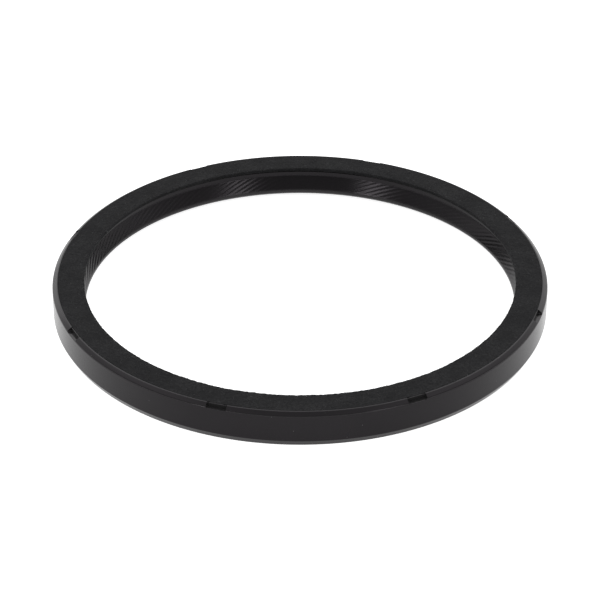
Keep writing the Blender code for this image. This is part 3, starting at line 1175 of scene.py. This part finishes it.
def table_material():
    """A white table that keeps the seal's shadow and looks as white as paper."""
    material, tree, shader = new_material("white_table")
    shader.inputs["Base Color"].default_value = (0.8, 0.8, 0.8, 1.0)
    shader.inputs["Roughness"].default_value = 0.9
    shader.inputs["Specular IOR Level"].default_value = 0.0
    shader.inputs["Emission Color"].default_value = (1, 1, 1, 1)
    seen, path = seen_directly(tree, -800, -300)
    seen = combine(tree, "MAXIMUM", -400, -300, seen, path.outputs["Is Glossy Ray"])
    glow = combine(tree, "MULTIPLY", -200, -300, seen, 0.85)
    tree.links.new(glow, shader.inputs["Emission Strength"])
    return material


def light_world(scene):
    """Plain light from all round, a white backdrop, and a dimmer studio on the camera's side."""
    world = scene.world or bpy.data.worlds.new("studio")
    scene.world = world
    world.use_nodes = True
    tree = world.node_tree
    tree.nodes.clear()
    seen, path = seen_directly(tree, -1100, 500)
    way = add_node(tree, "ShaderNodeTexCoord", -1100, 0)
    split = add_node(tree, "ShaderNodeSeparateXYZ", -900, 0)
    tree.links.new(way.outputs["Generated"], split.inputs[0])
    across, depth, up = split.outputs
    smooth = {"interpolation_type": "SMOOTHSTEP"}
    behind = combine(tree, "MAXIMUM", -800, 0, depth, 0.0)
    raised = combine(tree, "MULTIPLY_ADD", -800, -100, up, 2.6, 0.6)
    back = combine(tree, "MULTIPLY", -650, 0, behind, raised)
    sides = combine(tree, "POWER", -700, 200, combine(tree, "ABSOLUTE", -800, 200, across), 2.0)
    rise = between(tree, -700, -200, up, 0.0, 1.0, 0.50, 0.85, **smooth)
    roof = combine(tree, "MULTIPLY_ADD", -550, -300, sides, 1.5, 0.75)
    roof = combine(tree, "MULTIPLY", -400, -200, roof, rise)
    around = combine(tree, "MULTIPLY_ADD", -550, 0, sides, 0.8, back)
    tent = combine(tree, "ADD", -400, 0, around, roof)
    ahead = combine(tree, "MULTIPLY_ADD", -850, -450, behind, 0.5, up)
    horizon = between(tree, -700, -450, ahead, 3.2, 0.5, 0.0, 0.24, **smooth)
    mirrored = combine(tree, "MULTIPLY", -250, 0, tent, 1.25)
    mirrored = combine(tree, "MAXIMUM", -100, 0, mirrored, horizon)
    plain = backdrop(tree, 0, 300, 0.85)
    reflected = backdrop(tree, 0, 0, 1.0)
    tree.links.new(mirrored, reflected.inputs["Strength"])
    paper = backdrop(tree, 0, -200, 1.0)
    glossy = mix_backdrops(tree, 250, 150, path.outputs["Is Glossy Ray"], plain, reflected)
    everything = mix_backdrops(tree, 500, 0, seen, glossy, paper)
    out = add_node(tree, "ShaderNodeOutputWorld", 750, 0)
    tree.links.new(everything.outputs[0], out.inputs["Surface"])


def backdrop(tree, x, y, strength):
    node = add_node(tree, "ShaderNodeBackground", x, y)
    node.inputs["Color"].default_value = (1, 1, 1, 1)
    node.inputs["Strength"].default_value = strength
    return node


def mix_backdrops(tree, x, y, factor, first, second):
    node = add_node(tree, "ShaderNodeMixShader", x, y)
    tree.links.new(factor, node.inputs["Fac"])
    tree.links.new(first.outputs[0], node.inputs[1])
    tree.links.new(second.outputs[0], node.inputs[2])
    return node


def add_softbox(name, azimuth, elevation, distance, side, watts):
    """A soft lamp aimed at the seal. Azimuth is in degrees from the camera's side, to its right."""
    turn, rise = math.radians(azimuth), math.radians(elevation)
    level = math.cos(rise)
    way = Vector((math.sin(turn) * level, -math.cos(turn) * level, math.sin(rise)))
    deselect_everything()
    bpy.ops.object.light_add(type="AREA", location=way * distance + Vector((0, 0, HEIGHT / 2)))
    lamp = bpy.context.object
    lamp.name = name
    lamp.rotation_euler = way.to_track_quat("Z", "Y").to_euler()
    lamp.data.shape = "SQUARE"
    lamp.data.size = side
    lamp.data.energy = watts


# Panel and registration


class SEAL_PT_panel(bpy.types.Panel):
    """Buttons that build the seal piece by piece"""

    bl_idname = "SEAL_PT_panel"
    bl_label = "Crankshaft Oil Seal"
    bl_space_type = "VIEW_3D"
    bl_region_type = "UI"
    bl_category = "Oil Seal"

    def draw(self, context):
        layout = self.layout
        for group in (context.scene.seal_sizes, context.scene.seal_colours):
            box = layout.box()
            for name in group.__annotations__:
                box.prop(group, name)
        for operator in OPERATORS:
            layout.operator(operator.bl_idname)


OPERATORS = (
    SEAL_OT_rubber_body,
    SEAL_OT_felt_ring,
    SEAL_OT_felt_fibres,
    SEAL_OT_pressed_case,
    SEAL_OT_garter_spring,
    SEAL_OT_studio,
)
CLASSES = (SealSizes, SealColours, *OPERATORS, SEAL_PT_panel)


def register():
    for item in CLASSES:
        bpy.utils.register_class(item)
    bpy.types.Scene.seal_sizes = PointerProperty(type=SealSizes)
    bpy.types.Scene.seal_colours = PointerProperty(type=SealColours)


def unregister():
    del bpy.types.Scene.seal_colours
    del bpy.types.Scene.seal_sizes
    for item in reversed(CLASSES):
        bpy.utils.unregister_class(item)


def main():
    register()
    bpy.ops.seal.rubber_body()
    bpy.ops.seal.felt_ring()
    bpy.ops.seal.felt_fibres()
    bpy.ops.seal.pressed_case()
    bpy.ops.seal.garter_spring()
    bpy.ops.seal.studio()


if __name__ == "__main__":
    main()
